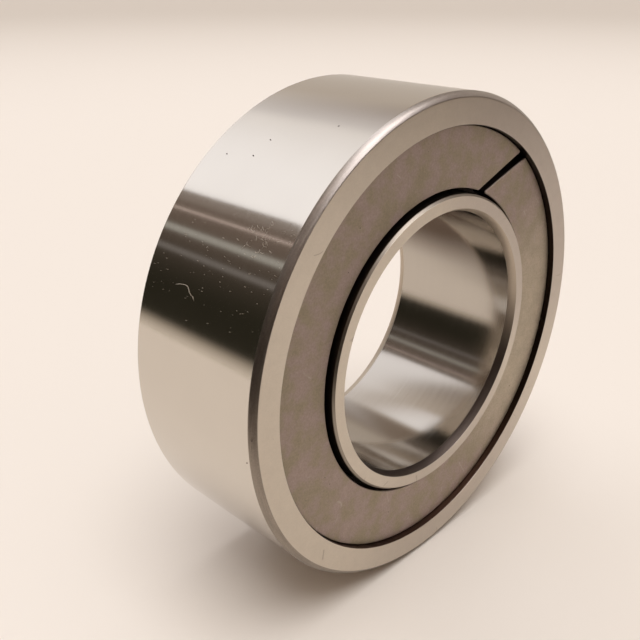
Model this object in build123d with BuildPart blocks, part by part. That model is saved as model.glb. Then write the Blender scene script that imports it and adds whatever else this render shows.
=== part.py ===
from build123d import *
import os
from math import cos, radians, sin

# A wide deep-groove ball bearing with a felt seal and a split closure ring on each side.
# Millimetres. The bearing's axis is Y, its front face looks towards -Y and +Z is up.
# The origin is the middle of the bearing, on its axis.

# Balls, and the wall of each ring under its ball groove. The bearing is sized outwards from these:
# the outside diameter comes to 100 and the width to 33.3.
bore_diameter = 55.0
ball_diameter = 14.288
ball_count = 10
first_ball_angle = 90.0
ball_clearance = 0.05
inner_wall = 4.056
outer_wall = 4.056
outer_corner = 1.15
bore_corner = 0.75

# Ball grooves: how much rounder than the ball, and the shoulder beside each as a share of the ball
inner_groove_relief = 0.26
outer_groove_relief = 0.4
inner_shoulder_share = 0.206
outer_shoulder_share = 0.234

# Inner ring's thin lands, which stand through the closures, and its raised middle
land_wall = 3.55
land_edge = 0.45
land_root_fillet = 0.6
shoulder_side_gap = 0.65

# Cage: two pressed halves of sheet, riveted together between the balls
cage_sheet = 1.2
cage_inner_gap = 1.1
cage_outer_gap = 0.8
cage_side_gap = 0.786
pocket_clearance = 0.12
pocket_root_fillet = 0.5
rivet_diameter = 2.2
rivet_hole_play = 0.05
rivet_head_diameter = 3.8
rivet_head_height = 0.9
rivet_head_chamfer = 0.5

# Seat in each side of the outer ring: one step up from the ball groove's shoulder to the lip
seat_step = 1.33
lip_edge = 0.1

# Steel washer on the seat, and the felt washer on top of it
backing_thickness = 0.7
backing_land_gap = 0.55
backing_rim_gap = 0.1
felt_thickness = 2.4
felt_land_gap = 0.15
felt_rim_gap = 0.15

# Closure: a split ring, sunk below the face and held by a flange in a groove behind the lip
closure_recess = 1.3
closure_thickness = 3.0
closure_land_gap = 0.9
closure_lip_gap = 0.15
closure_deburr = 0.2
flange_thickness = 1.1
flange_overlap = 0.3
groove_side_play = 0.1
groove_depth_play = 0.15

# Slanting slot in each closure ring, a little wider at the outside. Pinched shut, it lets the
# flange past the lip.
slot_lean = 38.5
slot_inner_width = 1.5
slot_outer_width = 2.2
slot_corner_radius = 0.3
front_slot_angle = 57.7
back_slot_angle = 231.0

# Radii, from the bore outwards
bore_radius = bore_diameter / 2
ball_radius = ball_diameter / 2
inner_raceway = bore_radius + inner_wall
pitch_radius = inner_raceway + ball_clearance + ball_radius
outer_raceway = pitch_radius + ball_radius + ball_clearance
outside_radius = outer_raceway + outer_wall
inner_shoulder = inner_raceway + inner_shoulder_share * ball_diameter
outer_shoulder = outer_raceway - outer_shoulder_share * ball_diameter
land_radius = bore_radius + land_wall
lip_radius = outer_shoulder + seat_step
flange_radius = lip_radius + flange_overlap
pocket_radius = ball_radius + pocket_clearance

# Distances from the middle, outwards
cage_reach = pocket_radius + cage_sheet
seat_depth = cage_reach + cage_side_gap
shoulder_end = seat_depth - shoulder_side_gap
backing_face = seat_depth + backing_thickness
felt_face = backing_face + felt_thickness
flange_face = felt_face + flange_thickness
closure_face = felt_face + closure_thickness
half_width = closure_face + closure_recess

# Directions round the pitch circle
ball_spacing = 360 / ball_count
first_rivet_angle = first_ball_angle + ball_spacing / 2

sides = {"front": -1, "back": 1}


def ring_section(inner_radius, outer_radius, near, far, mode=Mode.ADD):
    """Rectangle of a ring's half section: X is the radius and Y the distance along the axis."""
    with Locations(((inner_radius + outer_radius) / 2, (near + far) / 2)):
        Rectangle(outer_radius - inner_radius, abs(far - near), mode=mode)


def save(builder, name):
    """Label a finished piece and write it under its name."""
    builder.part.label = name
    export_step(builder.part, f"parts/{name}.step")


def make_outer_ring():
    """Ring with the outer raceway, and in each side a stepped seat behind a thin lip."""
    groove_radius = ball_radius + outer_groove_relief
    with BuildPart() as outer_ring:
        with BuildSketch(Plane.XY) as section:
            ring_section(outer_shoulder, outside_radius, -half_width, half_width)
            fillet(section.vertices().group_by(Axis.X)[-1], radius=outer_corner)
            for side in sides.values():
                seat, face = side * seat_depth, side * half_width
                ring_section(outer_shoulder, lip_radius, seat, face, Mode.SUBTRACT)
            chamfer(section.vertices().filter_by(is_lip_corner), length=lip_edge)
            for side in sides.values():
                near, far = side * felt_face, side * (flange_face + groove_side_play)
                ring_section(outer_shoulder, flange_radius + groove_depth_play, near, far, Mode.SUBTRACT)
            with Locations((outer_raceway - groove_radius, 0)):
                Circle(groove_radius, mode=Mode.SUBTRACT)
        revolve(axis=Axis.Y)
    save(outer_ring, "outer_ring")


def is_lip_corner(corner):
    """True for the corners where the lips' bores meet the outer ring's faces."""
    return abs(corner.X - lip_radius) < lip_edge and abs(corner.Y) > closure_face


def make_inner_ring():
    """Ring with the inner raceway on a raised middle, and a thin land to each face."""
    groove_radius = ball_radius + inner_groove_relief
    with BuildPart() as inner_ring:
        with BuildSketch(Plane.XY) as section:
            ring_section(bore_radius, land_radius, -half_width, half_width)
            ends = section.vertices().group_by(Axis.X)
            fillet(ends[0], radius=bore_corner)
            chamfer(ends[-1], length=land_edge)
            ring_section(bore_radius, inner_shoulder, -shoulder_end, shoulder_end)
            roots = section.vertices().filter_by(lambda corner: abs(corner.Y) < shoulder_end + land_edge)
            fillet(roots.group_by(Axis.X)[-2], radius=land_root_fillet)
            with Locations((inner_raceway + groove_radius, 0)):
                Circle(groove_radius, mode=Mode.SUBTRACT)
        revolve(axis=Axis.Y)
    save(inner_ring, "inner_ring")


def ball_centres():
    """Middle of each ball, round the pitch circle from the top."""
    angles = [radians(first_ball_angle + number * ball_spacing) for number in range(ball_count)]
    return [(pitch_radius * cos(angle), 0, pitch_radius * sin(angle)) for angle in angles]


def make_balls():
    """The balls, each a piece by itself, numbered from the top."""
    for number, centre in enumerate(ball_centres(), start=1):
        with BuildPart() as ball:
            with Locations(centre):
                Sphere(ball_radius)
        save(ball, f"ball_{number:02d}")


def make_cage_half(place, side):
    """Flat strip with a round pocket pressed out for each ball, and a rivet hole between pockets."""
    outward = -side
    with BuildPart() as cage_half:
        with BuildSketch(Plane.XZ):
            Circle(pitch_radius + cage_reach + cage_sheet)
        extrude(amount=outward * cage_sheet)
        with Locations(ball_centres()):
            Sphere(cage_reach)
        roots = cage_half.edges().filter_by(GeomType.CIRCLE).group_by(SortBy.RADIUS)[0]
        roots = roots.group_by(Axis.Y)[-1 if side > 0 else 0]
        fillet(roots, radius=pocket_root_fillet)
        with BuildSketch(Plane.XZ):
            Circle(outer_shoulder - cage_outer_gap)
            Circle(inner_shoulder + cage_inner_gap, mode=Mode.SUBTRACT)
        extrude(amount=outward * cage_reach, mode=Mode.INTERSECT)
        with Locations(ball_centres()):
            Sphere(pocket_radius, mode=Mode.SUBTRACT)
        with BuildSketch(Plane.XZ):
            with PolarLocations(pitch_radius, ball_count, start_angle=first_rivet_angle):
                Circle(rivet_diameter / 2 + rivet_hole_play)
        extrude(amount=outward * cage_sheet, mode=Mode.SUBTRACT)
    save(cage_half, f"cage_half_{place}")


def make_cage_rivets():
    """One rivet in the middle of each flat between pockets, with a low head on both halves."""
    with BuildPart() as cage_rivets:
        with BuildSketch(Plane.XZ.offset(-cage_sheet)):
            with PolarLocations(pitch_radius, ball_count, start_angle=first_rivet_angle):
                Circle(rivet_diameter / 2)
        extrude(amount=2 * cage_sheet)
        for side in sides.values():
            with BuildSketch(Plane.XZ.offset(-side * cage_sheet)):
                with PolarLocations(pitch_radius, ball_count, start_angle=first_rivet_angle):
                    Circle(rivet_head_diameter / 2)
            extrude(amount=-side * rivet_head_height)
            crowns = cage_rivets.edges().filter_by(GeomType.CIRCLE).group_by(Axis.Y)
            chamfer(crowns[-1 if side > 0 else 0], length=rivet_head_chamfer)
    save(cage_rivets, "cage_rivets")


def closure_plan(place, outer_radius, slot_angle):
    """Ring cut by its tapered slot, which leans away from the radius where it crosses the middle."""
    bore = land_radius + closure_land_gap
    half_length = (flange_radius - bore) / cos(radians(slot_lean))
    taper = (slot_outer_width - slot_inner_width) / 2
    inner_half = (slot_inner_width - taper) / 2
    outer_half = (slot_outer_width + taper) / 2
    with BuildSketch(Plane.XZ.offset(-place)) as plan:
        Circle(outer_radius)
        Circle(bore, mode=Mode.SUBTRACT)
        with PolarLocations((bore + flange_radius) / 2, 1, start_angle=slot_angle):
            with Locations(Rotation(0, 0, -slot_lean)):
                Polygon(
                    (-half_length, -inner_half),
                    (half_length, -outer_half),
                    (half_length, outer_half),
                    (-half_length, inner_half),
                    align=None,
                    mode=Mode.SUBTRACT,
                )
        fillet(plan.vertices(), radius=slot_corner_radius)
    return plan.sketch


def make_closure_ring(place, side, slot_angle):
    """Split ring: a body inside the lip, a flange behind it, and one slanting slot through both."""
    layers = ((lip_radius - closure_lip_gap, closure_face), (flange_radius, flange_face))
    with BuildPart() as closure_ring:
        for outer_radius, far in layers:
            plan = closure_plan(side * felt_face, outer_radius, slot_angle)
            extrude(plan, amount=-side * (far - felt_face))
        face = closure_ring.faces().sort_by(Axis.Y)[-1 if side > 0 else 0]
        fillet(face.edges(), radius=closure_deburr)
    save(closure_ring, f"closure_ring_{place}")


def make_washer(name, side, inner_radius, outer_radius, near, far):
    """Plain flat washer between two distances from the bearing's middle."""
    with BuildPart() as washer:
        with BuildSketch(Plane.XY):
            ring_section(inner_radius, outer_radius, side * near, side * far)
        revolve(axis=Axis.Y)
    save(washer, name)


os.makedirs("parts", exist_ok=True)
make_outer_ring()
make_inner_ring()
make_balls()
make_cage_rivets()
slot_angles = {"front": front_slot_angle, "back": back_slot_angle}
for place, side in sides.items():
    make_cage_half(place, side)
    backing_bore, backing_rim = land_radius + backing_land_gap, lip_radius - backing_rim_gap
    make_washer(f"backing_washer_{place}", side, backing_bore, backing_rim, seat_depth, backing_face)
    felt_bore, felt_rim = land_radius + felt_land_gap, lip_radius - felt_rim_gap
    make_washer(f"felt_washer_{place}", side, felt_bore, felt_rim, backing_face, felt_face)
    make_closure_ring(place, side, slot_angles[place])
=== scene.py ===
import math
import random

import bmesh
import bpy
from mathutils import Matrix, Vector, noise


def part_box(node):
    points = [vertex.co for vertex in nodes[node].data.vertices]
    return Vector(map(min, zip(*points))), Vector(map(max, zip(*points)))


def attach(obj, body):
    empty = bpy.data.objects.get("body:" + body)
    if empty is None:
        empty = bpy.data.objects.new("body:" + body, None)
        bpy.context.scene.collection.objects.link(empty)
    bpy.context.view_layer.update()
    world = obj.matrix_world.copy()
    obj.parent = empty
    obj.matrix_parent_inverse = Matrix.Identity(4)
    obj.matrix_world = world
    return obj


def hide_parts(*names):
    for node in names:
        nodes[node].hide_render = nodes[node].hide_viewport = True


# Looks of a wide ball bearing that stands on its outside on a pale table, under a soft overhead light.
# Metres, unless millimetres are named. The bearing's axis is Y, its front face looks towards -Y and
# +Z is up.
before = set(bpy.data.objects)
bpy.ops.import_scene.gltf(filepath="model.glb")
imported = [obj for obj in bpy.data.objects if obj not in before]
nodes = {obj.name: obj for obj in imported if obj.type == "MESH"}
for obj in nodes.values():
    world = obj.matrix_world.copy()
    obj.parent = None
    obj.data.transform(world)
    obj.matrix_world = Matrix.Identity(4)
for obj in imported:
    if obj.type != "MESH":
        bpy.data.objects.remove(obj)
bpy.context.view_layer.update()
MM = 0.001

# The camera, at the photograph's angle
CAMERA_PLACE = (-0.119524, -0.100255, 0.070985)
CAMERA_TURN = 45.49
CAMERA_DIP = 24.33
CAMERA_LENS = 44.628

# Sections of the rings, millimetres. Faces and seats are read from the solids that lie on them.
FELT_RIM_GAP = 0.15
BALL_CLEARANCE = 0.05
FACE_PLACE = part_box("outer_ring")[1].y / MM
OUTSIDE_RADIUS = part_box("outer_ring")[1].z / MM
CLOSURE_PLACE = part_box("closure_ring_back")[1].y / MM
FELT_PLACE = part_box("felt_washer_back")[1].y / MM
SEAT_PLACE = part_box("backing_washer_back")[0].y / MM
LIP_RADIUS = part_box("felt_washer_back")[1].z / MM + FELT_RIM_GAP
OUTER_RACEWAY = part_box("ball_01")[1].z / MM + BALL_CLEARANCE
INNER_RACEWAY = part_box("ball_01")[0].z / MM - BALL_CLEARANCE
OUTER_SHOULDER = 42.6
INNER_SHOULDER = 34.5
SHOULDER_END = 8.6
OUTER_GROOVE = 7.544
INNER_GROOVE = 7.404
FLANGE_GROOVE_RADIUS = 44.38
FLANGE_GROOVE_END = 13.55
LIP_EDGE = 0.1
BORE_RADIUS = 27.5
LAND_RADIUS = 31.05
LAND_EDGE = 0.45
LAND_ROOT = 0.6

# Turned corners: how far each reaches across the face and along the axis, and how flat it is
OUTER_CORNER = 1.15
BORE_CORNER = 0.75
BORE_CORNER_DEPTH = 1.7
CORNER_FLATNESS = 0.65

# Meshes of the rings. Borders sharper than an angle stay crisp, and a point this close to each keeps
# the walls beside it straight.
SHARP_ANGLE = 35.0
SUPPORT = 0.04
RING_STEPS = 360
GROOVE_STEPS = 24
CORNER_STEPS = 8
ROOT_STEPS = 6

# Felt rings, millimetres: the bore, how square the section is, the mesh, and how the matted fibres
# push it in and out, as paces and depths
FELT_BORE = 31.2
FELT_SQUARENESS = 0.35
FELT_STEPS = 300
FELT_SIDES = 32
FELT_RUFFLES = ((1.3, 0.05), (4.0, 0.035))
FELT_SINK = 0.06
FIBRE_COUNT = 900
FIBRE_LENGTHS = (0.4, 1.1)
FIBRE_BENDS = (-0.5, 0.5)
FIBRE_LIFT = 0.05
FIBRE_THICKNESS = 0.012

# Specks and threads of lint on the outside: angles in degrees, the rest in millimetres
LINT_COUNT = 90
LINT_ANGLES = (138.5, 164, 152)
LINT_PLACES = (-15, 15)
LINT_LENGTHS = (0.04, 0.12)
LINT_THICKNESSES = (0.02, 0.045)
HAIR_COUNT = 34
HAIR_ANGLES = (138.8, 147.5, 141.5)
HAIR_PLACES = (-9, 3.2)
HAIR_LENGTHS = (0.4, 1.3)
HAIR_THICKNESS = 0.02
HAIR_STEPS = 8
LONG_HAIRS = ((141.5, -6.5, 1.8), (145.0, -8.5, 1.6), (146.5, 9.5, 1.0))
LONG_HAIR_THICKNESS = 0.026
BENT_HAIR = ((156.5, 7.3), (156.1, 6.3), (155.9, 5.4), (155.8, 4.7), (155.9, 4.1), (156.3, 3.6),
             (156.8, 3.3), (157.2, 2.7), (157.4, 2.1), (158.1, 1.5))
BENT_HAIR_LIFT = 0.05
BENT_HAIR_THICKNESS = 0.032

# Grit: angle, place along the axis and lift of each speck on the outside, and radius and angle of
# each on the front closure ring
OUTSIDE_GRIT = ((127.5, 10.6, 0.0), (126.5, 4.3, 0.0), (121.7, 3.6, 0.0), (-174.8, -14.8, 0.0),
                (179.6, -16.2, -0.28))
OUTSIDE_GRIT_SIZE = 0.2
CLOSURE_GRIT = ((36.0, 203), (35.7, 211), (35.8, 207), (41.4, 207), (38.2, 128), (40.6, 98),
                (34.8, 139), (39.5, 64), (37.0, 250))
CLOSURE_GRIT_SIZE = 0.13

# The table, its painted shade far off, and a patch of painted shadow on it that only the steel mirrors
FLOOR_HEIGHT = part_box("outer_ring")[0].z
FLOOR_REACH = 6.0
FLOOR_COLOUR = (0.83, 0.77, 0.71)
FAR_FLOOR_SHADE_COLOUR = (0.6, 0.54, 0.48)
FAR_FLOOR_SHADE_FROM = (0.45, 2.2)
# Painted shadow: a dark patch on the table close behind the bearing, seen only in the steel.
FLOOR_SHADOW_COLOUR = (0.2, 0.15, 0.12)
FLOOR_SHADOW_PLACE = (0.034, 0.046, FLOOR_HEIGHT)
FLOOR_SHADOW_REACH = (0.012, 0.06)

# The room as the steel mirrors it. Places on the ceiling are in ceiling heights, to the right and
# away. A pair says where a soft change starts and ends, and a third number how soft an edge is.
HORIZON = 0.02
CEILING_COLOUR = (0.68, 0.59, 0.51)
CEILING_LEFT_COLOUR = (0.4, 0.33, 0.28)
CEILING_LEFT_END = (-0.5, 0.0)
CORNER_COLOUR = (0.3, 0.23, 0.18)
CORNER_START = (0.4, 0.6)
WALL_COLOUR = (0.62, 0.545, 0.475)
WALL_TOP = (0.45, 0.62)
BEHIND_COLOUR = (0.17, 0.12, 0.09)
BEHIND_TOP = (0.45, 0.7)
BEHIND_END = (-0.55, -0.2)
BEHIND_LEFT_END = (-0.8, -0.4)
PANEL_COLOUR = (1.36, 1.35, 1.4)
BEYOND_FADE = (-0.25, 1.4)
BEYOND_NEAR_EDGE = (0.63, 0.675)
BEYOND_NEAR_SLANT = -0.25
BEYOND_LEFT_EDGE = (-1.24, -1.09)
BEYOND_LEFT_SLANT = -0.38
OVERHEAD_SIDES = (0.02, 0.45, 0.07)
OVERHEAD_ENDS = (-0.75, 0.56, 0.04)
OVERHEAD_SLANT = -0.35
OVERHEAD_GLARE = 0.8
OVERHEAD_GLARE_END = (-0.1, 0.5)
NEAR_LAMP_COLOUR = (4.6, 4.5, 4.6)
NEAR_LAMP_SIDES = (0.1, 0.8, 0.08)
NEAR_LAMP_ENDS = (-1.6, -0.42, 0.06)
BACKDROP_COLOUR = (0.64, 0.57, 0.505)

# The soft lamp over the table
LAMP_FROM = (-0.16, -0.2, 1.0)
LAMP_SPREAD = 42.0
LAMP_POWER = 1.7
LAMP_COLOUR = (1.0, 1.0, 0.99)

# Cards that only the steel mirrors: ends on the table, outline along the table and up, and tops
NEAR_CARD_ENDS = ((-0.215, 0.035), (0.015, -0.16))
NEAR_CARD_TOP = 0.03
NEAR_CARD_COLOUR = (0.035, 0.027, 0.02)
NEAR_CARD_FOOT_COLOUR = (0.25, 0.19, 0.15)
NEAR_CARD_FOOT = (-0.05, -0.01)
LEFT_CARD_PLACE = -0.28
LEFT_CARD_OUTLINE = ((-0.3, FLOOR_HEIGHT), (3.0, FLOOR_HEIGHT), (3.0, 0.455), (0.44, 0.455),
                     (0.35, 0.385), (-0.3, 0.385))
LEFT_CARD_COLOURS = ((0.028, 0.025, 0.017), (0.19, 0.145, 0.12), (0.3, 0.25, 0.22))
LEFT_CARD_RISES = ((0.05, 0.33), (0.35, 0.39))
LEFT_CARD_FOOT_COLOURS = ((0.78, 0.69, 0.59), (0.38, 0.32, 0.26))
LEFT_CARD_FOOT_RISES = ((-0.05, -0.018), (-0.03, -0.006))
LEFT_CARD_SLITS = ((0.318, 0.005, (1.0, 0.84, 0.79)), (0.225, 0.012, (0.5, 0.49, 0.46)),
                   (0.156, 0.008, (0.24, 0.22, 0.21)))
FRONT_CARD_ENDS = ((0.15, -0.3), (2.0, -0.3))
FRONT_CARD_TOP = 0.4
FRONT_CARD_FOOT_COLOUR = (0.16, 0.12, 0.095)
FRONT_CARD_RISE = (-0.05, 0.3)

# Colours of the ground, turned and honed steel, and of the painted shade and light on it
STEEL_COLOUR = (0.62, 0.575, 0.515)
TURNED_COLOUR = (0.43, 0.385, 0.35)
TURNED_SHADE_COLOUR = (0.29, 0.25, 0.21)
FACE_COLOUR = (0.6, 0.54, 0.46)
FACE_SHADE_COLOUR = (0.49, 0.435, 0.385)
FACE_SCRATCH_COLOUR = (0.42, 0.365, 0.305)
PIT_COLOUR = (0.06, 0.045, 0.035)
RECESS_SHADE_COLOUR = (0.03, 0.021, 0.017)
RECESS_LIT_COLOUR = (0.1, 0.06, 0.045)
BORE_COLOUR = (0.5, 0.46, 0.41)
BORE_CORNER_COLOUR = (0.58, 0.5, 0.41)
BORE_CORNER_SHADE_COLOUR = (0.1, 0.078, 0.066)
LAND_SHADE_COLOUR = (0.09, 0.075, 0.062)
LAND_EDGE_COLOUR = (0.32, 0.28, 0.235)

# Colours of the closure rings with their painted light and shade, the pieces inside, and what lies on the
# outside
CLOSURE_COLOURS = ((0.398, 0.343, 0.256), (0.407, 0.328, 0.293))
CLOSURE_LIT_COLOUR = (0.52, 0.455, 0.36)
CLOSURE_SCRATCH_COLOUR = (0.5, 0.435, 0.375)
CLOSURE_SPECK_COLOUR = (0.12, 0.09, 0.07)
GAP_SHADE_COLOUR = (0.03, 0.022, 0.018)
GAP_LIT_COLOUR = (0.17, 0.115, 0.09)
BALL_COLOUR = (0.68, 0.665, 0.64)
CAGE_COLOUR = (0.45, 0.42, 0.38)
WASHER_COLOUR = (0.42, 0.4, 0.37)
FELT_COLOURS = ((0.012, 0.009, 0.007), (0.075, 0.06, 0.048))
LINT_COLOUR = (0.62, 0.56, 0.48)
GRIT_COLOUR = (0.05, 0.032, 0.025)

# Roughness of each finish: a base, and how much of a noise comes on top
OUTSIDE_ROUGHNESS = (0.075, 0.05)
CORNER_ROUGHNESS = (0.26, 0.2)
FACE_ROUGHNESS = (0.3, 0.16)
BORE_ROUGHNESS = (0.095, 0.07)
BORE_CORNER_ROUGHNESS = (0.4, 0.2)
CLOSURE_ROUGHNESS = (0.5, 0.2)
BALL_ROUGHNESS = (0.02, 0.05)
CAGE_ROUGHNESS = (0.22, 0.2)
WASHER_ROUGHNESS = (0.25, 0.2)
FELT_ROUGHNESS = (0.95, -0.25)
LINT_ROUGHNESS = 0.9
GRIT_ROUGHNESS = 0.7
TABLE_ROUGHNESS = 0.9

# Noises: the size of their patches in millimetres, their detail and their roughness
STEEL_GRAIN = (0.28, 3.0, 0.7)
FACE_CLOUDS = (2.5, 3.0, 0.6)
CLOSURE_GRAIN = (0.22, 3.0, 0.75)
CLOSURE_SPECKLE = (0.45, 3.0, 0.75)
CLOSURE_CLOUDS = (5.0, 4.0, 0.6)
CLOSURE_CLOUD_RISE = (0.36, 0.62)
BALL_HAZE = (0.6, 4.0, 0.7)
FELT_FIBRES = (0.12, 4.0, 0.75)
ROLLING_STRETCH = (0.06, 1.0, 2.5)

# Scratches: size of their curves, width and share. Pits and specks: spacing, size and share.
FACE_SCRATCHES = (7.0, 0.09, 0.36)
CLOSURE_SCRATCHES = (9.0, 0.13, 0.4)
OUTSIDE_PITS = (7.0, 0.16, 0.35)
CLOSURE_SPECKS = (4.5, 0.22, 0.3)

# Zones of the finishes and of painted shade, millimetres: where each border lies and how soft it is, and the
# common softness
ZONE_EDGE = 0.06
FACE_BORDER = (FACE_PLACE - 0.03, 0.02)
OUTSIDE_BORDER = (OUTSIDE_RADIUS - 0.08, 0.03)
LAND_BORDER = (LAND_RADIUS - 0.05, 0.04)
GAP_SHADE_DEPTH = (0.15, 0.5)

# Painted light and shade that change with the height on the bearing, millimetres, and with the way
# round its axis: shares of X and Z that give the way, and where the change starts and ends
TURNED_SHADE_RISE = (-6.0, 26.0)
RECESS_RISE = (-40.0, -22.0)
GAP_RISE = (-30.0, -18.0)
BORE_CORNER_SHADE_RISE = (-14.0, 7.0)
UPPER_SHADE_SIDE = ((0.8, 0.6), 0.4, 0.95)
LOWER_SHADE_SIDE = ((0.26, -0.97), 0.6, 0.97)
LOWER_SHADE_SHARE = 0.65
CLOSURE_LIT_SIDE = ((0.966, -0.259), 0.55, 1.0)


def add_node(tree, kind, settings=None, **inputs):
    """A new shader node, its inputs set to values or linked to sockets, by name or as i0, i1 and so on."""
    node = tree.nodes.new(kind)
    for name, value in (settings or {}).items():
        setattr(node, name, value)
    for name, value in inputs.items():
        target = node.inputs[int(name[1:])] if name[0] == "i" and name[1:].isdigit() else node.inputs[name]
        if isinstance(value, bpy.types.NodeSocket):
            tree.links.new(value, target)
        else:
            target.default_value = value
    return node


def calc(tree, operation, first, second=0.0, third=0.0):
    """One step of arithmetic on sockets or numbers."""
    node = add_node(tree, "ShaderNodeMath", {"operation": operation}, i0=first, i1=second, i2=third)
    return node.outputs[0]


def product(tree, first, second):
    """One number times another."""
    return calc(tree, "MULTIPLY", first, second)


def opposite(tree, share):
    """What a share leaves of 1."""
    return calc(tree, "SUBTRACT", 1.0, share)


def split(tree, vector):
    """The X, Y and Z of a vector."""
    return add_node(tree, "ShaderNodeSeparateXYZ", i0=vector).outputs


def scaled(tree, vector, factor):
    """A vector or colour times a number."""
    node = add_node(tree, "ShaderNodeVectorMath", {"operation": "SCALE"}, i0=vector, Scale=factor)
    return node.outputs[0]


def ramp(tree, value, low, high, start=0.0, end=1.0):
    """Smooth change from start to end while value goes from low to high."""
    settings = {"interpolation_type": "SMOOTHSTEP"}
    node = add_node(tree, "ShaderNodeMapRange", settings, i0=value, i1=low, i2=high, i3=start, i4=end)
    return node.outputs[0]


def fall(tree, value, low, high):
    """Smooth change from 1 to 0 while value goes from low to high."""
    return ramp(tree, value, low, high, 1.0, 0.0)


def between(tree, value, low, high, edge):
    """1 between low and high, 0 outside, with soft edges."""
    return product(tree, above(tree, value, low, edge), fall(tree, value, high - edge, high + edge))


def above(tree, value, limit, edge=ZONE_EDGE):
    """1 above a limit, 0 below it, with a soft edge."""
    return ramp(tree, value, limit - edge, limit + edge)


def mix(tree, share, first, second):
    """Mix of two numbers, or number sockets, by a share."""
    return add_node(tree, "ShaderNodeMix", i0=share, i2=first, i3=second).outputs[0]


def blend(tree, share, first, second):
    """Mix of two colours, or colour sockets, by a share."""
    first, second = (colour if isinstance(colour, bpy.types.NodeSocket) else (*colour, 1.0)
                     for colour in (first, second))
    node = add_node(tree, "ShaderNodeMix", {"data_type": "RGBA"}, i0=share, i6=first, i7=second)
    return node.outputs[2]


def make_camera():
    """The photograph's camera: level, looking down on the front face from its left."""
    data = bpy.data.cameras.new("camera")
    data.lens = CAMERA_LENS
    camera = bpy.data.objects.new("camera", data)
    camera.location = CAMERA_PLACE
    camera.rotation_euler = (math.radians(90 - CAMERA_DIP), 0, math.radians(-CAMERA_TURN))
    bpy.context.collection.objects.link(camera)
    bpy.context.scene.camera = camera


def plain_room(tree, x, y, z, right):
    """The room without its lamps: pale walls and ceiling, dim to the right, on the left and behind."""
    ceiling = blend(tree, ramp(tree, right, *CEILING_LEFT_END), CEILING_LEFT_COLOUR, CEILING_COLOUR)
    ceiling = blend(tree, ramp(tree, right, *CORNER_START), ceiling, CORNER_COLOUR)
    colour = blend(tree, ramp(tree, z, *WALL_TOP), WALL_COLOUR, ceiling)
    low = fall(tree, z, *BEHIND_TOP)
    colour = blend(tree, product(tree, fall(tree, y, *BEHIND_END), low), colour, BEHIND_COLOUR)
    return blend(tree, product(tree, fall(tree, x, *BEHIND_LEFT_END), low), colour, BEHIND_COLOUR)


def make_world():
    """The room: two bright panels in its ceiling, one beyond the bearing and one overhead, and a near
    lamp that only the steel mirrors. The camera itself sees a plain backdrop."""
    world = bpy.data.worlds.new("room")
    world.use_nodes = True
    bpy.context.scene.world = world
    tree = world.node_tree
    tree.nodes.clear()
    direction = add_node(tree, "ShaderNodeTexCoord").outputs["Generated"]
    x, y, z = split(tree, direction)
    height = calc(tree, "MAXIMUM", z, HORIZON)
    right = calc(tree, "DIVIDE", x, height)
    away = calc(tree, "DIVIDE", y, height)
    rays = add_node(tree, "ShaderNodeLightPath").outputs
    mirrored = rays["Is Glossy Ray"]

    near_edge = calc(tree, "MULTIPLY_ADD", calc(tree, "MAXIMUM", right, 0.0), BEYOND_NEAR_SLANT, away)
    left_edge = calc(tree, "MULTIPLY_ADD", away, BEYOND_LEFT_SLANT, right)
    beyond = product(tree, fall(tree, right, *BEYOND_FADE), ramp(tree, near_edge, *BEYOND_NEAR_EDGE))
    beyond = product(tree, beyond, ramp(tree, left_edge, *BEYOND_LEFT_EDGE))
    colour = blend(tree, beyond, plain_room(tree, x, y, z, right), PANEL_COLOUR)

    far_edge = calc(tree, "MULTIPLY_ADD", right, OVERHEAD_SLANT, away)
    overhead = product(tree, between(tree, right, *OVERHEAD_SIDES), between(tree, far_edge, *OVERHEAD_ENDS))
    glare = ramp(tree, far_edge, *OVERHEAD_GLARE_END, OVERHEAD_GLARE, 0.0)
    glare = calc(tree, "MULTIPLY_ADD", mirrored, glare, 1.0)
    colour = blend(tree, overhead, colour, scaled(tree, PANEL_COLOUR, glare))

    near = product(tree, between(tree, right, *NEAR_LAMP_SIDES), between(tree, away, *NEAR_LAMP_ENDS))
    colour = blend(tree, product(tree, near, mirrored), colour, NEAR_LAMP_COLOUR)
    colour = blend(tree, rays["Is Camera Ray"], colour, BACKDROP_COLOUR)
    background = add_node(tree, "ShaderNodeBackground", Color=colour, Strength=1.0)
    output = add_node(tree, "ShaderNodeOutputWorld")
    tree.links.new(background.outputs[0], output.inputs[0])


def make_lamp():
    """A very soft lamp high up, a little to the left. It lights the table and isn't seen in the steel."""
    data = bpy.data.lights.new("soft_lamp", "SUN")
    data.angle = math.radians(LAMP_SPREAD)
    data.energy = LAMP_POWER
    data.color = LAMP_COLOUR
    lamp = bpy.data.objects.new("soft_lamp", data)
    lamp.rotation_euler = Vector(LAMP_FROM).to_track_quat("Z", "Y").to_euler()
    lamp.visible_glossy = False
    bpy.context.collection.objects.link(lamp)


def empty_material(name):
    """A node material with nothing in it, and its node tree."""
    material = bpy.data.materials.new(name)
    material.use_nodes = True
    material.node_tree.nodes.clear()
    return material, material.node_tree


def new_material(name):
    """A node material with a Principled shader alone."""
    material, tree = empty_material(name)
    shader = add_node(tree, "ShaderNodeBsdfPrincipled")
    output = add_node(tree, "ShaderNodeOutputMaterial")
    tree.links.new(shader.outputs[0], output.inputs[0])
    return material, tree, shader


def flat_piece(name, corners):
    """A flat mesh of one face, which stands round the bearing and isn't part of it."""
    mesh = bpy.data.meshes.new(name)
    mesh.from_pydata(corners, [], [tuple(range(len(corners)))])
    piece = bpy.data.objects.new(name, mesh)
    bpy.context.collection.objects.link(piece)
    return piece


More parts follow.
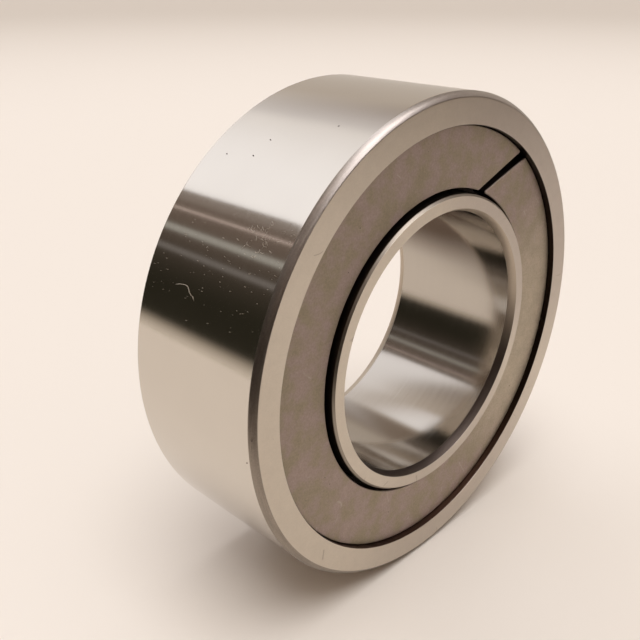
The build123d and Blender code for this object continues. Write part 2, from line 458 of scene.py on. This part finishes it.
def make_floor():
    """The table: painted shade deepens its cream far behind the bearing, and a painted shadow lies close
    behind it for the steel.
    """
    sides = ((-1, -1), (1, -1), (1, 1), (-1, 1))
    floor = flat_piece("floor", [(x * FLOOR_REACH, y * FLOOR_REACH, FLOOR_HEIGHT) for x, y in sides])
    material, tree, shader = new_material("table")
    place = add_node(tree, "ShaderNodeTexCoord").outputs["Object"]
    distance = add_node(tree, "ShaderNodeVectorMath", {"operation": "LENGTH"}, i0=place).outputs["Value"]
    # Painted shade: the table turns darker far from the bearing.
    colour = blend(tree, ramp(tree, distance, *FAR_FLOOR_SHADE_FROM), FLOOR_COLOUR, FAR_FLOOR_SHADE_COLOUR)
    settings = {"operation": "DISTANCE"}
    offset = add_node(tree, "ShaderNodeVectorMath", settings, i0=place, i1=FLOOR_SHADOW_PLACE).outputs["Value"]
    mirrored = add_node(tree, "ShaderNodeLightPath").outputs["Is Glossy Ray"]
    # Painted shadow on the table behind the bearing, for mirrored rays only.
    painted_shadow = product(tree, mirrored, fall(tree, offset, *FLOOR_SHADOW_REACH))
    tree.links.new(blend(tree, painted_shadow, colour, FLOOR_SHADOW_COLOUR), shader.inputs["Base Color"])
    shader.inputs["Roughness"].default_value = TABLE_ROUGHNESS
    shader.inputs["Specular IOR Level"].default_value = 0.1
    floor.data.materials.append(material)


def make_card(name, corners, colour_of):
    """A card that only the steel sees, glowing with the colour that colour_of makes from its height."""
    card = flat_piece(name, corners)
    material, tree = empty_material(name)
    place = add_node(tree, "ShaderNodeTexCoord").outputs["Object"]
    emission = add_node(tree, "ShaderNodeEmission", Color=colour_of(tree, split(tree, place)["Z"]))
    output = add_node(tree, "ShaderNodeOutputMaterial")
    tree.links.new(emission.outputs[0], output.inputs[0])
    card.data.materials.append(material)
    card.visible_camera = False
    card.visible_diffuse = False
    card.visible_shadow = False


def upright(ends, top):
    """Corners of an upright card that stands on the table between two ends."""
    first, second = ends
    return [(*first, FLOOR_HEIGHT), (*second, FLOOR_HEIGHT), (*second, top), (*first, top)]


def left_card_colour(tree, height):
    """Dark, with three thin lit slits, and the table's tone along its foot."""
    dark, pale, top = LEFT_CARD_COLOURS
    colour = blend(tree, ramp(tree, height, *LEFT_CARD_RISES[0]), dark, pale)
    colour = blend(tree, ramp(tree, height, *LEFT_CARD_RISES[1]), colour, top)
    foot = blend(tree, ramp(tree, height, *LEFT_CARD_FOOT_RISES[0]), *LEFT_CARD_FOOT_COLOURS)
    colour = blend(tree, ramp(tree, height, *LEFT_CARD_FOOT_RISES[1]), foot, colour)
    for middle, half, light in LEFT_CARD_SLITS:
        share = between(tree, height, middle - half, middle + half, half * 0.6)
        colour = blend(tree, share, colour, light)
    return colour


def front_card_colour(tree, height):
    """The dim side of the room behind the camera."""
    return blend(tree, ramp(tree, height, *FRONT_CARD_RISE), FRONT_CARD_FOOT_COLOUR, BEHIND_COLOUR)


def near_card_colour(tree, height):
    """Dark, with the table's tone along its foot."""
    return blend(tree, ramp(tree, height, *NEAR_CARD_FOOT), NEAR_CARD_FOOT_COLOUR, NEAR_CARD_COLOUR)


def make_cards():
    """The dark things round the table: one below the camera, one on the left and one in front."""
    make_card("near_card", upright(NEAR_CARD_ENDS, NEAR_CARD_TOP), near_card_colour)
    left_corners = [(LEFT_CARD_PLACE, along, height) for along, height in LEFT_CARD_OUTLINE]
    make_card("left_card", left_corners, left_card_colour)
    make_card("front_card", upright(FRONT_CARD_ENDS, FRONT_CARD_TOP), front_card_colour)


def millimetres(tree):
    """The place on a piece, in millimetres."""
    return scaled(tree, add_node(tree, "ShaderNodeTexCoord").outputs["Object"], 1 / MM)


def polar(tree, place):
    """X, Y and Z of a place, and its distance from the bearing's axis."""
    x, y, z = split(tree, place)
    radius = calc(tree, "SQRT", calc(tree, "MULTIPLY_ADD", x, x, product(tree, z, z)))
    return x, y, z, radius


def cloud(tree, place, size, detail=2.0, roughness=0.5):
    """Noise about 0.5, with patches of a size in millimetres."""
    inputs = {"Vector": place, "Scale": 1 / size, "Detail": detail, "Roughness": roughness}
    return add_node(tree, "ShaderNodeTexNoise", **inputs).outputs[0]


def lathe_lines(tree, place, across, around):
    """Noise drawn out round the axis: so many millimetres across a line, so many around."""
    x, y, z, radius = polar(tree, place)
    first = calc(tree, "MULTIPLY_ADD", x, 1 / around, calc(tree, "DIVIDE", radius, across))
    second = calc(tree, "MULTIPLY_ADD", z, 1 / around, calc(tree, "DIVIDE", y, across))
    third = calc(tree, "DIVIDE", x, around)
    line = add_node(tree, "ShaderNodeCombineXYZ", X=first, Y=second, Z=third).outputs[0]
    return cloud(tree, line, size=1.0, detail=3.0, roughness=0.6)


def specks(tree, place, spacing, size, share):
    """1 in small round specks, that lie in a share of the cells of a spacing, millimetres."""
    inputs = {"Vector": place, "Scale": 1 / spacing, "Randomness": 1.0}
    cells = add_node(tree, "ShaderNodeTexVoronoi", {"feature": "F1"}, **inputs)
    chance = add_node(tree, "ShaderNodeSeparateColor", i0=cells.outputs["Color"]).outputs
    reach = calc(tree, "MULTIPLY_ADD", chance[1], size / spacing, size / spacing * 0.3)
    past = calc(tree, "SUBTRACT", cells.outputs["Distance"], reach)
    inside = fall(tree, past, -0.3 * size / spacing, 0.0)
    return product(tree, inside, calc(tree, "LESS_THAN", chance[0], share))


def hairlines(tree, place, size, width, share):
    """Short fine curved scratches: parts of a noise's contour lines, their size and width in millimetres."""
    level = cloud(tree, place, size, detail=0.0)
    offset = calc(tree, "ABSOLUTE", calc(tree, "SUBTRACT", level, 0.5))
    patch = cloud(tree, place, size * 0.55, detail=1.0)
    return product(tree, fall(tree, offset, 0.0, width / size), ramp(tree, patch, 1.0 - share, 1.04 - share))


def on_side(tree, place, way, low, high):
    """Smooth change from 0 to 1 round the axis, towards a way given as its shares of X and Z."""
    x, _, z, radius = polar(tree, place)
    toward = calc(tree, "MULTIPLY_ADD", x, way[0], product(tree, z, way[1]))
    return ramp(tree, calc(tree, "DIVIDE", toward, radius), low, high)


def shaded(tree, colour, value, amount):
    """A colour made lighter and darker by a noise about 0.5."""
    return scaled(tree, colour, calc(tree, "MULTIPLY_ADD", value, amount, 1.0 - amount / 2))


def rough(tree, value, levels):
    """A roughness: a base, and an amount of a noise on top."""
    return calc(tree, "MULTIPLY_ADD", value, levels[1], levels[0])


def relief(tree, shader, height, depth):
    """Bump from a height of 0 to 1, so many millimetres deep."""
    bump = add_node(tree, "ShaderNodeBump", Height=height, Strength=1.0, Distance=depth * MM)
    tree.links.new(bump.outputs[0], shader.inputs["Normal"])


def finish(tree, shader, colour, roughness, height, depth):
    """Links a metal's colour, roughness and relief."""
    shader.inputs["Metallic"].default_value = 1.0
    tree.links.new(colour, shader.inputs["Base Color"])
    tree.links.new(roughness, shader.inputs["Roughness"])
    relief(tree, shader, height, depth)


def face_colour(tree, place, grain):
    """Ground faces with a fine grain, and painted shade that makes them greyer and darker towards the upper
    right and the bottom.
    """
    # Painted shade on the faces, towards the upper right and the bottom.
    lower = product(tree, on_side(tree, place, *LOWER_SHADE_SIDE), LOWER_SHADE_SHARE)
    face_shade = calc(tree, "MAXIMUM", on_side(tree, place, *UPPER_SHADE_SIDE), lower)
    colour = shaded(tree, blend(tree, face_shade, FACE_COLOUR, FACE_SHADE_COLOUR), grain, amount=0.2)
    colour = shaded(tree, colour, cloud(tree, place, *FACE_CLOUDS), amount=0.12)
    return blend(tree, hairlines(tree, place, *FACE_SCRATCHES), colour, FACE_SCRATCH_COLOUR)


def outer_ring_steel():
    """Outside ground bright, corners turned and dull with painted shade low down, faces ground satin with
    painted shade, recesses in painted shade, lit low down.
    """
    material, tree, shader = new_material("outer_ring_steel")
    place = millimetres(tree)
    _, y, z, radius = polar(tree, place)
    along = calc(tree, "ABSOLUTE", y)
    lines = lathe_lines(tree, place, across=0.35, around=60.0)
    coarse_lines = lathe_lines(tree, place, across=0.5, around=14.0)
    turned_lines = lathe_lines(tree, place, across=0.5, around=6.0)
    grain = cloud(tree, place, *STEEL_GRAIN)

    on_face = above(tree, along, *FACE_BORDER)
    past_rim = above(tree, radius, OUTSIDE_RADIUS - OUTER_CORNER)
    on_corner = product(tree, above(tree, along, FACE_PLACE - OUTER_CORNER), past_rim)
    outside = above(tree, radius, *OUTSIDE_BORDER)
    recess = product(tree, opposite(tree, past_rim), opposite(tree, on_face))

    # Painted shade: the turned corner darker towards the bottom.
    turned = blend(tree, ramp(tree, z, *TURNED_SHADE_RISE), TURNED_SHADE_COLOUR, TURNED_COLOUR)
    turned = shaded(tree, shaded(tree, turned, grain, amount=0.6), turned_lines, amount=0.6)
    # Painted shade in the recesses, with a painted lit copy at the bottom.
    dark = blend(tree, ramp(tree, z, *RECESS_RISE), RECESS_LIT_COLOUR, RECESS_SHADE_COLOUR)
    ground = product(tree, on_face, opposite(tree, on_corner))
    colour = shaded(tree, STEEL_COLOUR, cloud(tree, place, size=9.0), amount=0.05)
    colour = blend(tree, on_corner, colour, turned)
    colour = blend(tree, ground, colour, face_colour(tree, place, grain))
    colour = blend(tree, recess, colour, dark)
    colour = blend(tree, specks(tree, place, *OUTSIDE_PITS), colour, PIT_COLOUR)

    satin = calc(tree, "MAXIMUM", calc(tree, "SUBTRACT", on_face, on_corner), recess)
    roughness = rough(tree, lines, OUTSIDE_ROUGHNESS)
    roughness = mix(tree, on_corner, roughness, rough(tree, grain, CORNER_ROUGHNESS))
    roughness = mix(tree, satin, roughness, rough(tree, grain, FACE_ROUGHNESS))
    height = calc(tree, "MULTIPLY_ADD", grain, 0.5, product(tree, coarse_lines, 0.5))
    height = mix(tree, outside, height, product(tree, lines, 0.1))
    finish(tree, shader, colour, roughness, height, depth=0.012)
    return material


def inner_ring_steel():
    """Bore honed, its corners turned and dull with painted shade low on the front, faces ground satin with
    painted shade, lands in the running gap in painted shade.
    """
    material, tree, shader = new_material("inner_ring_steel")
    place = millimetres(tree)
    _, y, z, radius = polar(tree, place)
    along = calc(tree, "ABSOLUTE", y)
    lines = lathe_lines(tree, place, across=0.4, around=50.0)
    grain = cloud(tree, place, *STEEL_GRAIN)

    on_face = above(tree, along, *FACE_BORDER)
    past_corner = above(tree, radius, BORE_RADIUS + BORE_CORNER)
    past_side = above(tree, along, FACE_PLACE - BORE_CORNER_DEPTH)
    on_corner = product(tree, past_side, opposite(tree, past_corner))
    outer_side = product(tree, past_corner, opposite(tree, on_face))

    # Painted shade: the front bore corner darker low down.
    corner_lit = calc(tree, "MAXIMUM", ramp(tree, z, *BORE_CORNER_SHADE_RISE), above(tree, y, 0.0))
    corner = blend(tree, corner_lit, BORE_CORNER_SHADE_COLOUR, BORE_CORNER_COLOUR)
    colour = shaded(tree, BORE_COLOUR, lines, amount=0.08)
    colour = blend(tree, on_corner, colour, shaded(tree, corner, grain, amount=0.25))
    colour = blend(tree, product(tree, on_face, past_corner), colour, face_colour(tree, place, grain))
    colour = blend(tree, outer_side, colour, LAND_EDGE_COLOUR)
    # Painted shade on the lands and grooves in the running gap.
    colour = blend(tree, above(tree, radius, *LAND_BORDER), colour, LAND_SHADE_COLOUR)

    roughness = rough(tree, lines, BORE_ROUGHNESS)
    roughness = mix(tree, on_corner, roughness, rough(tree, grain, BORE_CORNER_ROUGHNESS))
    roughness = mix(tree, past_corner, roughness, rough(tree, grain, FACE_ROUGHNESS))
    grained = calc(tree, "MAXIMUM", on_corner, past_corner)
    height = mix(tree, grained, product(tree, lines, 0.15), product(tree, grain, 0.6))
    finish(tree, shader, colour, roughness, height, depth=0.01)
    return material


def closure_steel():
    """Dull grey-brown sheet with a fine blasted grain, soft clouds and a few dark specks; painted light
    towards the right, and painted shade below its front plane, lit near the bottom.
    """
    material, tree, shader = new_material("closure_steel")
    place = millimetres(tree)
    _, y, z = split(tree, place)
    grain = cloud(tree, place, *CLOSURE_GRAIN)
    clouds = cloud(tree, place, *CLOSURE_CLOUDS)
    depth = calc(tree, "SUBTRACT", CLOSURE_PLACE, calc(tree, "ABSOLUTE", y))
    # Painted shade on the closure below its front plane, in slots and at rims, with a painted lit copy near
    # the bottom.
    gap = blend(tree, ramp(tree, z, *GAP_RISE), GAP_LIT_COLOUR, GAP_SHADE_COLOUR)
    colour = blend(tree, ramp(tree, clouds, *CLOSURE_CLOUD_RISE), *CLOSURE_COLOURS)
    # Painted light: the closure rings lighter towards the right.
    colour = blend(tree, on_side(tree, place, *CLOSURE_LIT_SIDE), colour, CLOSURE_LIT_COLOUR)
    colour = shaded(tree, colour, clouds, amount=0.5)
    colour = shaded(tree, colour, cloud(tree, place, *CLOSURE_SPECKLE), amount=0.6)
    colour = blend(tree, hairlines(tree, place, *CLOSURE_SCRATCHES), colour, CLOSURE_SCRATCH_COLOUR)
    colour = blend(tree, specks(tree, place, *CLOSURE_SPECKS), colour, CLOSURE_SPECK_COLOUR)
    colour = blend(tree, ramp(tree, depth, *GAP_SHADE_DEPTH), colour, gap)
    finish(tree, shader, colour, rough(tree, grain, CLOSURE_ROUGHNESS), grain, depth=0.02)
    return material


def ball_steel():
    """Polished balls with a faint haze."""
    material, tree, shader = new_material("ball_steel")
    haze = cloud(tree, millimetres(tree), *BALL_HAZE)
    colour = shaded(tree, BALL_COLOUR, haze, amount=0.06)
    finish(tree, shader, colour, rough(tree, haze, BALL_ROUGHNESS), haze, depth=0.0004)
    return material


def cage_steel():
    """Pressed sheet steel, satin, with drawing marks and a film of oil."""
    material, tree, shader = new_material("cage_steel")
    place = millimetres(tree)
    drawn = lathe_lines(tree, place, across=0.6, around=20.0)
    patches = cloud(tree, place, size=4.0, detail=3.0)
    colour = shaded(tree, shaded(tree, CAGE_COLOUR, patches, amount=0.25), drawn, amount=0.15)
    finish(tree, shader, colour, rough(tree, patches, CAGE_ROUGHNESS), drawn, depth=0.006)
    return material


def washer_steel():
    """Rolled sheet, its rolling marks all one way, with oil stains."""
    material, tree, shader = new_material("washer_steel")
    place = millimetres(tree)
    settings = {"operation": "MULTIPLY"}
    stretched = add_node(tree, "ShaderNodeVectorMath", settings, i0=place, i1=ROLLING_STRETCH).outputs[0]
    rolled = cloud(tree, stretched, size=1.0, detail=3.0)
    patches = cloud(tree, place, size=6.0, detail=3.0)
    colour = shaded(tree, shaded(tree, WASHER_COLOUR, patches, amount=0.3), rolled, amount=0.15)
    finish(tree, shader, colour, rough(tree, patches, WASHER_ROUGHNESS), rolled, depth=0.004)
    return material


def felt():
    """Wool felt dark with oil: matted fibres, lighter where they stand up."""
    material, tree, shader = new_material("felt")
    place = millimetres(tree)
    fibres = cloud(tree, place, *FELT_FIBRES)
    tufts = cloud(tree, place, size=1.6, detail=3.0)
    colour = shaded(tree, blend(tree, fibres, *FELT_COLOURS), tufts, amount=0.6)
    tree.links.new(colour, shader.inputs["Base Color"])
    tree.links.new(rough(tree, tufts, FELT_ROUGHNESS), shader.inputs["Roughness"])
    shader.inputs["Specular IOR Level"].default_value = 0.3
    shader.inputs["Sheen Weight"].default_value = 0.15
    relief(tree, shader, fibres, depth=0.08)
    return material


def dirt(name, colour, size, amount, roughness):
    """Lint or grime: a dull colour in soft patches of a size in millimetres."""
    material, tree, shader = new_material(name)
    patches = cloud(tree, millimetres(tree), size)
    tree.links.new(shaded(tree, colour, patches, amount), shader.inputs["Base Color"])
    shader.inputs["Roughness"].default_value = roughness
    return material


def strand(points, thickness, vertices, faces):
    """Adds a thin three-sided thread along points to the lists of a mesh."""
    first = len(vertices)
    for index, point in enumerate(points):
        ahead = points[min(index + 1, len(points) - 1)] - points[max(index - 1, 0)]
        side = ahead.orthogonal().normalized()
        up = ahead.cross(side).normalized()
        slim = thickness * (0.45 if index in (0, len(points) - 1) else 1.0)
        for turn in range(3):
            angle = turn * math.tau / 3
            vertices.append(point + (side * math.cos(angle) + up * math.sin(angle)) * slim)
    for step in range(len(points) - 1):
        for turn in range(3):
            low, high = first + step * 3, first + step * 3 + 3
            faces.append((low + turn, low + (turn + 1) % 3, high + (turn + 1) % 3, high + turn))
    last = first + len(points) * 3 - 3
    faces.append((first + 2, first + 1, first))
    faces.append((last, last + 1, last + 2))


def new_piece(name, vertices, faces, material, body):
    """A smooth mesh in metres from points in millimetres, riding on a body."""
    mesh = bpy.data.meshes.new(name)
    mesh.from_pydata([point * MM for point in vertices], [], faces)
    mesh.polygons.foreach_set("use_smooth", [True] * len(mesh.polygons))
    mesh.materials.append(material)
    piece = bpy.data.objects.new(name, mesh)
    bpy.context.collection.objects.link(piece)
    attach(piece, body)
    return piece


def felt_point(around, across, middle, half_width, half_height, radius):
    """A point of the soft-edged section of a felt ring, pushed in and out by its matted fibres."""
    c, s = math.cos(across), math.sin(across)
    out = math.copysign(abs(c) ** FELT_SQUARENESS, c)
    along = math.copysign(abs(s) ** FELT_SQUARENESS, s)
    reach = radius + half_height * out
    point = Vector((reach * math.cos(around), middle + half_width * along, reach * math.sin(around)))
    ruffle = sum(noise.noise(point * pace) * depth for pace, depth in FELT_RUFFLES)
    normal = Vector((out * math.cos(around), along, out * math.sin(around))).normalized()
    return point + normal * (ruffle - FELT_SINK), normal


def make_felt(node, seed, material):
    """A pressed felt ring in the place of its plain solid, with loose fibres at its surface."""
    low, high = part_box(node)
    middle, half_width = (low.y + high.y) / 2 / MM, (high.y - low.y) / 2 / MM
    radius, half_height = (high.z / MM + FELT_BORE) / 2, (high.z / MM - FELT_BORE) / 2
    vertices, faces = [], []
    for step in range(FELT_STEPS):
        for side in range(FELT_SIDES):
            around, across = step * math.tau / FELT_STEPS, side * math.tau / FELT_SIDES
            vertices.append(felt_point(around, across, middle, half_width, half_height, radius)[0])
            here, beside = step * FELT_SIDES, (step + 1) % FELT_STEPS * FELT_SIDES
            following = (side + 1) % FELT_SIDES
            faces.append((here + side, beside + side, beside + following, here + following))
    draw = random.Random(seed)
    for _ in range(FIBRE_COUNT):
        around, across = draw.uniform(0, math.tau), draw.uniform(0, math.tau)
        start, normal = felt_point(around, across, middle, half_width, half_height, radius)
        way = Vector([draw.uniform(-1, 1) for _ in range(3)])
        way = (way - normal * way.dot(normal)).normalized()
        bend = normal.cross(way) * draw.uniform(*FIBRE_BENDS)
        length = draw.uniform(*FIBRE_LENGTHS)
        points = []
        for t in (0, 0.33, 0.66, 1):
            lift = normal * FIBRE_LIFT * math.sin(math.pi * t)
            points.append(start + way * length * t + bend * length * t * t + lift)
        strand(points, FIBRE_THICKNESS, vertices, faces)
    piece = new_piece(node.replace("washer", "ring"), vertices, faces, material, "outer")
    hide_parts(node)


def corner_outline(radius, across, depth, outward):
    """Points of a turned corner, from its border on the face to its border on the ring's wall."""
    points = []
    for step in range(CORNER_STEPS + 1):
        share = step / CORNER_STEPS
        angle = share * math.pi / 2
        round_off = (1 - math.sin(angle), 1 - math.cos(angle))
        flat = (1 - share, share)
        off, down = (a + (b - a) * CORNER_FLATNESS for a, b in zip(round_off, flat))
        points.append((radius - outward * off * across, FACE_PLACE - down * depth))
    return points


def groove_outline(centre, radius, shoulder, outward):
    """Points of half a ball groove, from its deepest line to the shoulder."""
    end = math.acos(outward * (shoulder - centre) / radius)
    angles = [end * step / GROOVE_STEPS for step in range(GROOVE_STEPS + 1)]
    return [(centre + outward * radius * math.cos(angle), radius * math.sin(angle)) for angle in angles]


def outer_ring_outline():
    """Half section of the outer ring, from the middle of its raceway to the middle of its outside."""
    points = groove_outline(OUTER_RACEWAY - OUTER_GROOVE, OUTER_GROOVE, OUTER_SHOULDER, 1)
    points += [(OUTER_SHOULDER, SEAT_PLACE), (LIP_RADIUS, SEAT_PLACE), (LIP_RADIUS, FELT_PLACE),
               (FLANGE_GROOVE_RADIUS, FELT_PLACE), (FLANGE_GROOVE_RADIUS, FLANGE_GROOVE_END),
               (LIP_RADIUS, FLANGE_GROOVE_END), (LIP_RADIUS, FACE_PLACE - LIP_EDGE),
               (LIP_RADIUS + LIP_EDGE, FACE_PLACE)]
    return points + corner_outline(OUTSIDE_RADIUS, OUTER_CORNER, OUTER_CORNER, 1)


def inner_ring_outline():
    """Half section of the inner ring, from the middle of its raceway to the middle of its bore."""
    points = groove_outline(INNER_RACEWAY + INNER_GROOVE, INNER_GROOVE, INNER_SHOULDER, -1)
    points.append((INNER_SHOULDER, SHOULDER_END))
    for step in range(ROOT_STEPS + 1):
        angle = math.pi / 2 * step / ROOT_STEPS
        off, up = LAND_ROOT * (1 - math.sin(angle)), LAND_ROOT * (1 - math.cos(angle))
        points.append((LAND_RADIUS + off, SHOULDER_END + up))
    points += [(LAND_RADIUS, FACE_PLACE - LAND_EDGE), (LAND_RADIUS - LAND_EDGE, FACE_PLACE)]
    return points + corner_outline(BORE_RADIUS, BORE_CORNER, BORE_CORNER_DEPTH, -1)


def with_supports(outline):
    """The closed outline with a point close to each end of its long stretches."""
    supported = []
    for start, end in zip(outline, outline[1:] + outline[:1]):
        length = math.dist(start, end)
        shares = (0, SUPPORT / length, 1 - SUPPORT / length) if length > 10 * SUPPORT else (0,)
        supported += [tuple(a + (b - a) * share for a, b in zip(start, end)) for share in shares]
    return supported


def turn_ring(name, node, half, material, body):
    """A ring turned from half its section, in the place of its solid, with smooth walls and crisp edges."""
    outline = with_supports(half + [(radius, -along) for radius, along in reversed(half) if along > 0.001])
    count = len(outline)
    vertices, faces = [], []
    for step in range(RING_STEPS):
        turn = step * math.tau / RING_STEPS
        c, s = math.cos(turn), math.sin(turn)
        vertices += [Vector((radius * c, along, radius * s)) for radius, along in outline]
        here, beside = step * count, (step + 1) % RING_STEPS * count
        for point in range(count):
            following = (point + 1) % count
            faces.append((here + point, beside + point, beside + following, here + following))
    piece = new_piece(name, vertices, faces, material, body)
    solid = bmesh.new()
    solid.from_mesh(piece.data)
    bmesh.ops.recalc_face_normals(solid, faces=solid.faces)
    solid.to_mesh(piece.data)
    solid.free()
    piece.data.set_sharp_from_angle(angle=math.radians(SHARP_ANGLE))
    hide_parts(node)


def outside_point(around, along, lift):
    """A point so far off the outer ring's outside, from its angle in degrees and place along the axis."""
    reach = OUTSIDE_RADIUS + lift
    return Vector((reach * math.cos(math.radians(around)), along, reach * math.sin(math.radians(around))))


def closure_point(radius, around):
    """A point on the front closure ring, from its radius and its angle in degrees."""
    turn = math.radians(around)
    return Vector((radius * math.cos(turn), -CLOSURE_PLACE, radius * math.sin(turn)))


def hair(draw, around, along, length, thickness, vertices, faces):
    """One curled thread of lint that lies on the outside."""
    heading, curl = draw.uniform(0, math.tau), draw.uniform(-1.2, 1.2)
    points = []
    for step in range(HAIR_STEPS + 1):
        lift = thickness * (1.2 + 2.5 * math.sin(math.pi * step / HAIR_STEPS))
        points.append(outside_point(around, along, lift))
        heading += curl * 0.45 + draw.uniform(-0.35, 0.35)
        around += math.degrees(math.cos(heading) * length / HAIR_STEPS / OUTSIDE_RADIUS)
        along += math.sin(heading) * length / HAIR_STEPS
    strand(points, thickness, vertices, faces)


def make_dust(material):
    """Specks and short threads of lint that settled on the side of the outer ring."""
    draw = random.Random(7)
    vertices, faces = [], []
    for _ in range(LINT_COUNT):
        around, along = draw.triangular(*LINT_ANGLES), draw.uniform(*LINT_PLACES)
        length, thickness = draw.uniform(*LINT_LENGTHS), draw.uniform(*LINT_THICKNESSES)
        hair(draw, around, along, length, thickness, vertices, faces)
    for _ in range(HAIR_COUNT):
        around, along = draw.triangular(*HAIR_ANGLES), draw.gauss(*HAIR_PLACES)
        hair(draw, around, along, draw.uniform(*HAIR_LENGTHS), HAIR_THICKNESS, vertices, faces)
    for around, along, length in LONG_HAIRS:
        hair(draw, around, along, length, LONG_HAIR_THICKNESS, vertices, faces)
    bends = [outside_point(around, along, BENT_HAIR_LIFT) for around, along in BENT_HAIR]
    strand(bends, BENT_HAIR_THICKNESS, vertices, faces)
    new_piece("dust", vertices, faces, material, "outer")


def make_grit(material):
    """Dark specks that stick to the outside, its corner and the front closure ring."""
    draw = random.Random(11)
    vertices, faces = [], []
    spots = [(outside_point(*spot), OUTSIDE_GRIT_SIZE) for spot in OUTSIDE_GRIT]
    spots += [(closure_point(*spot), CLOSURE_GRIT_SIZE) for spot in CLOSURE_GRIT]
    for spot, size in spots:
        way = Vector([draw.uniform(-1, 1) for _ in range(3)]).normalized() * size
        strand([spot - way, spot, spot + way * 0.8], size * draw.uniform(0.5, 0.9), vertices, faces)
    new_piece("grit", vertices, faces, material, "outer")


def dress(material, *names):
    """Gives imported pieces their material."""
    for name in names:
        slots = nodes[name].data.materials
        slots.clear()
        slots.append(material)


make_camera()
make_world()
make_lamp()
make_floor()
make_cards()
turn_ring("outer_race", "outer_ring", outer_ring_outline(), outer_ring_steel(), "outer")
turn_ring("inner_race", "inner_ring", inner_ring_outline(), inner_ring_steel(), "inner")
dress(closure_steel(), "closure_ring_front", "closure_ring_back")
dress(ball_steel(), *(name for name in nodes if name.startswith("ball_")))
dress(cage_steel(), "cage_half_front", "cage_half_back", "cage_rivets")
dress(washer_steel(), "backing_washer_front", "backing_washer_back")
felt_cloth = felt()
for seed, node in enumerate(("felt_washer_front", "felt_washer_back")):
    make_felt(node, seed, felt_cloth)
make_dust(dirt("dust", LINT_COLOUR, size=0.8, amount=0.5, roughness=LINT_ROUGHNESS))
make_grit(dirt("grit", GRIT_COLOUR, size=0.4, amount=0.6, roughness=GRIT_ROUGHNESS))

bpy.context.scene.view_settings.view_transform = "Standard"
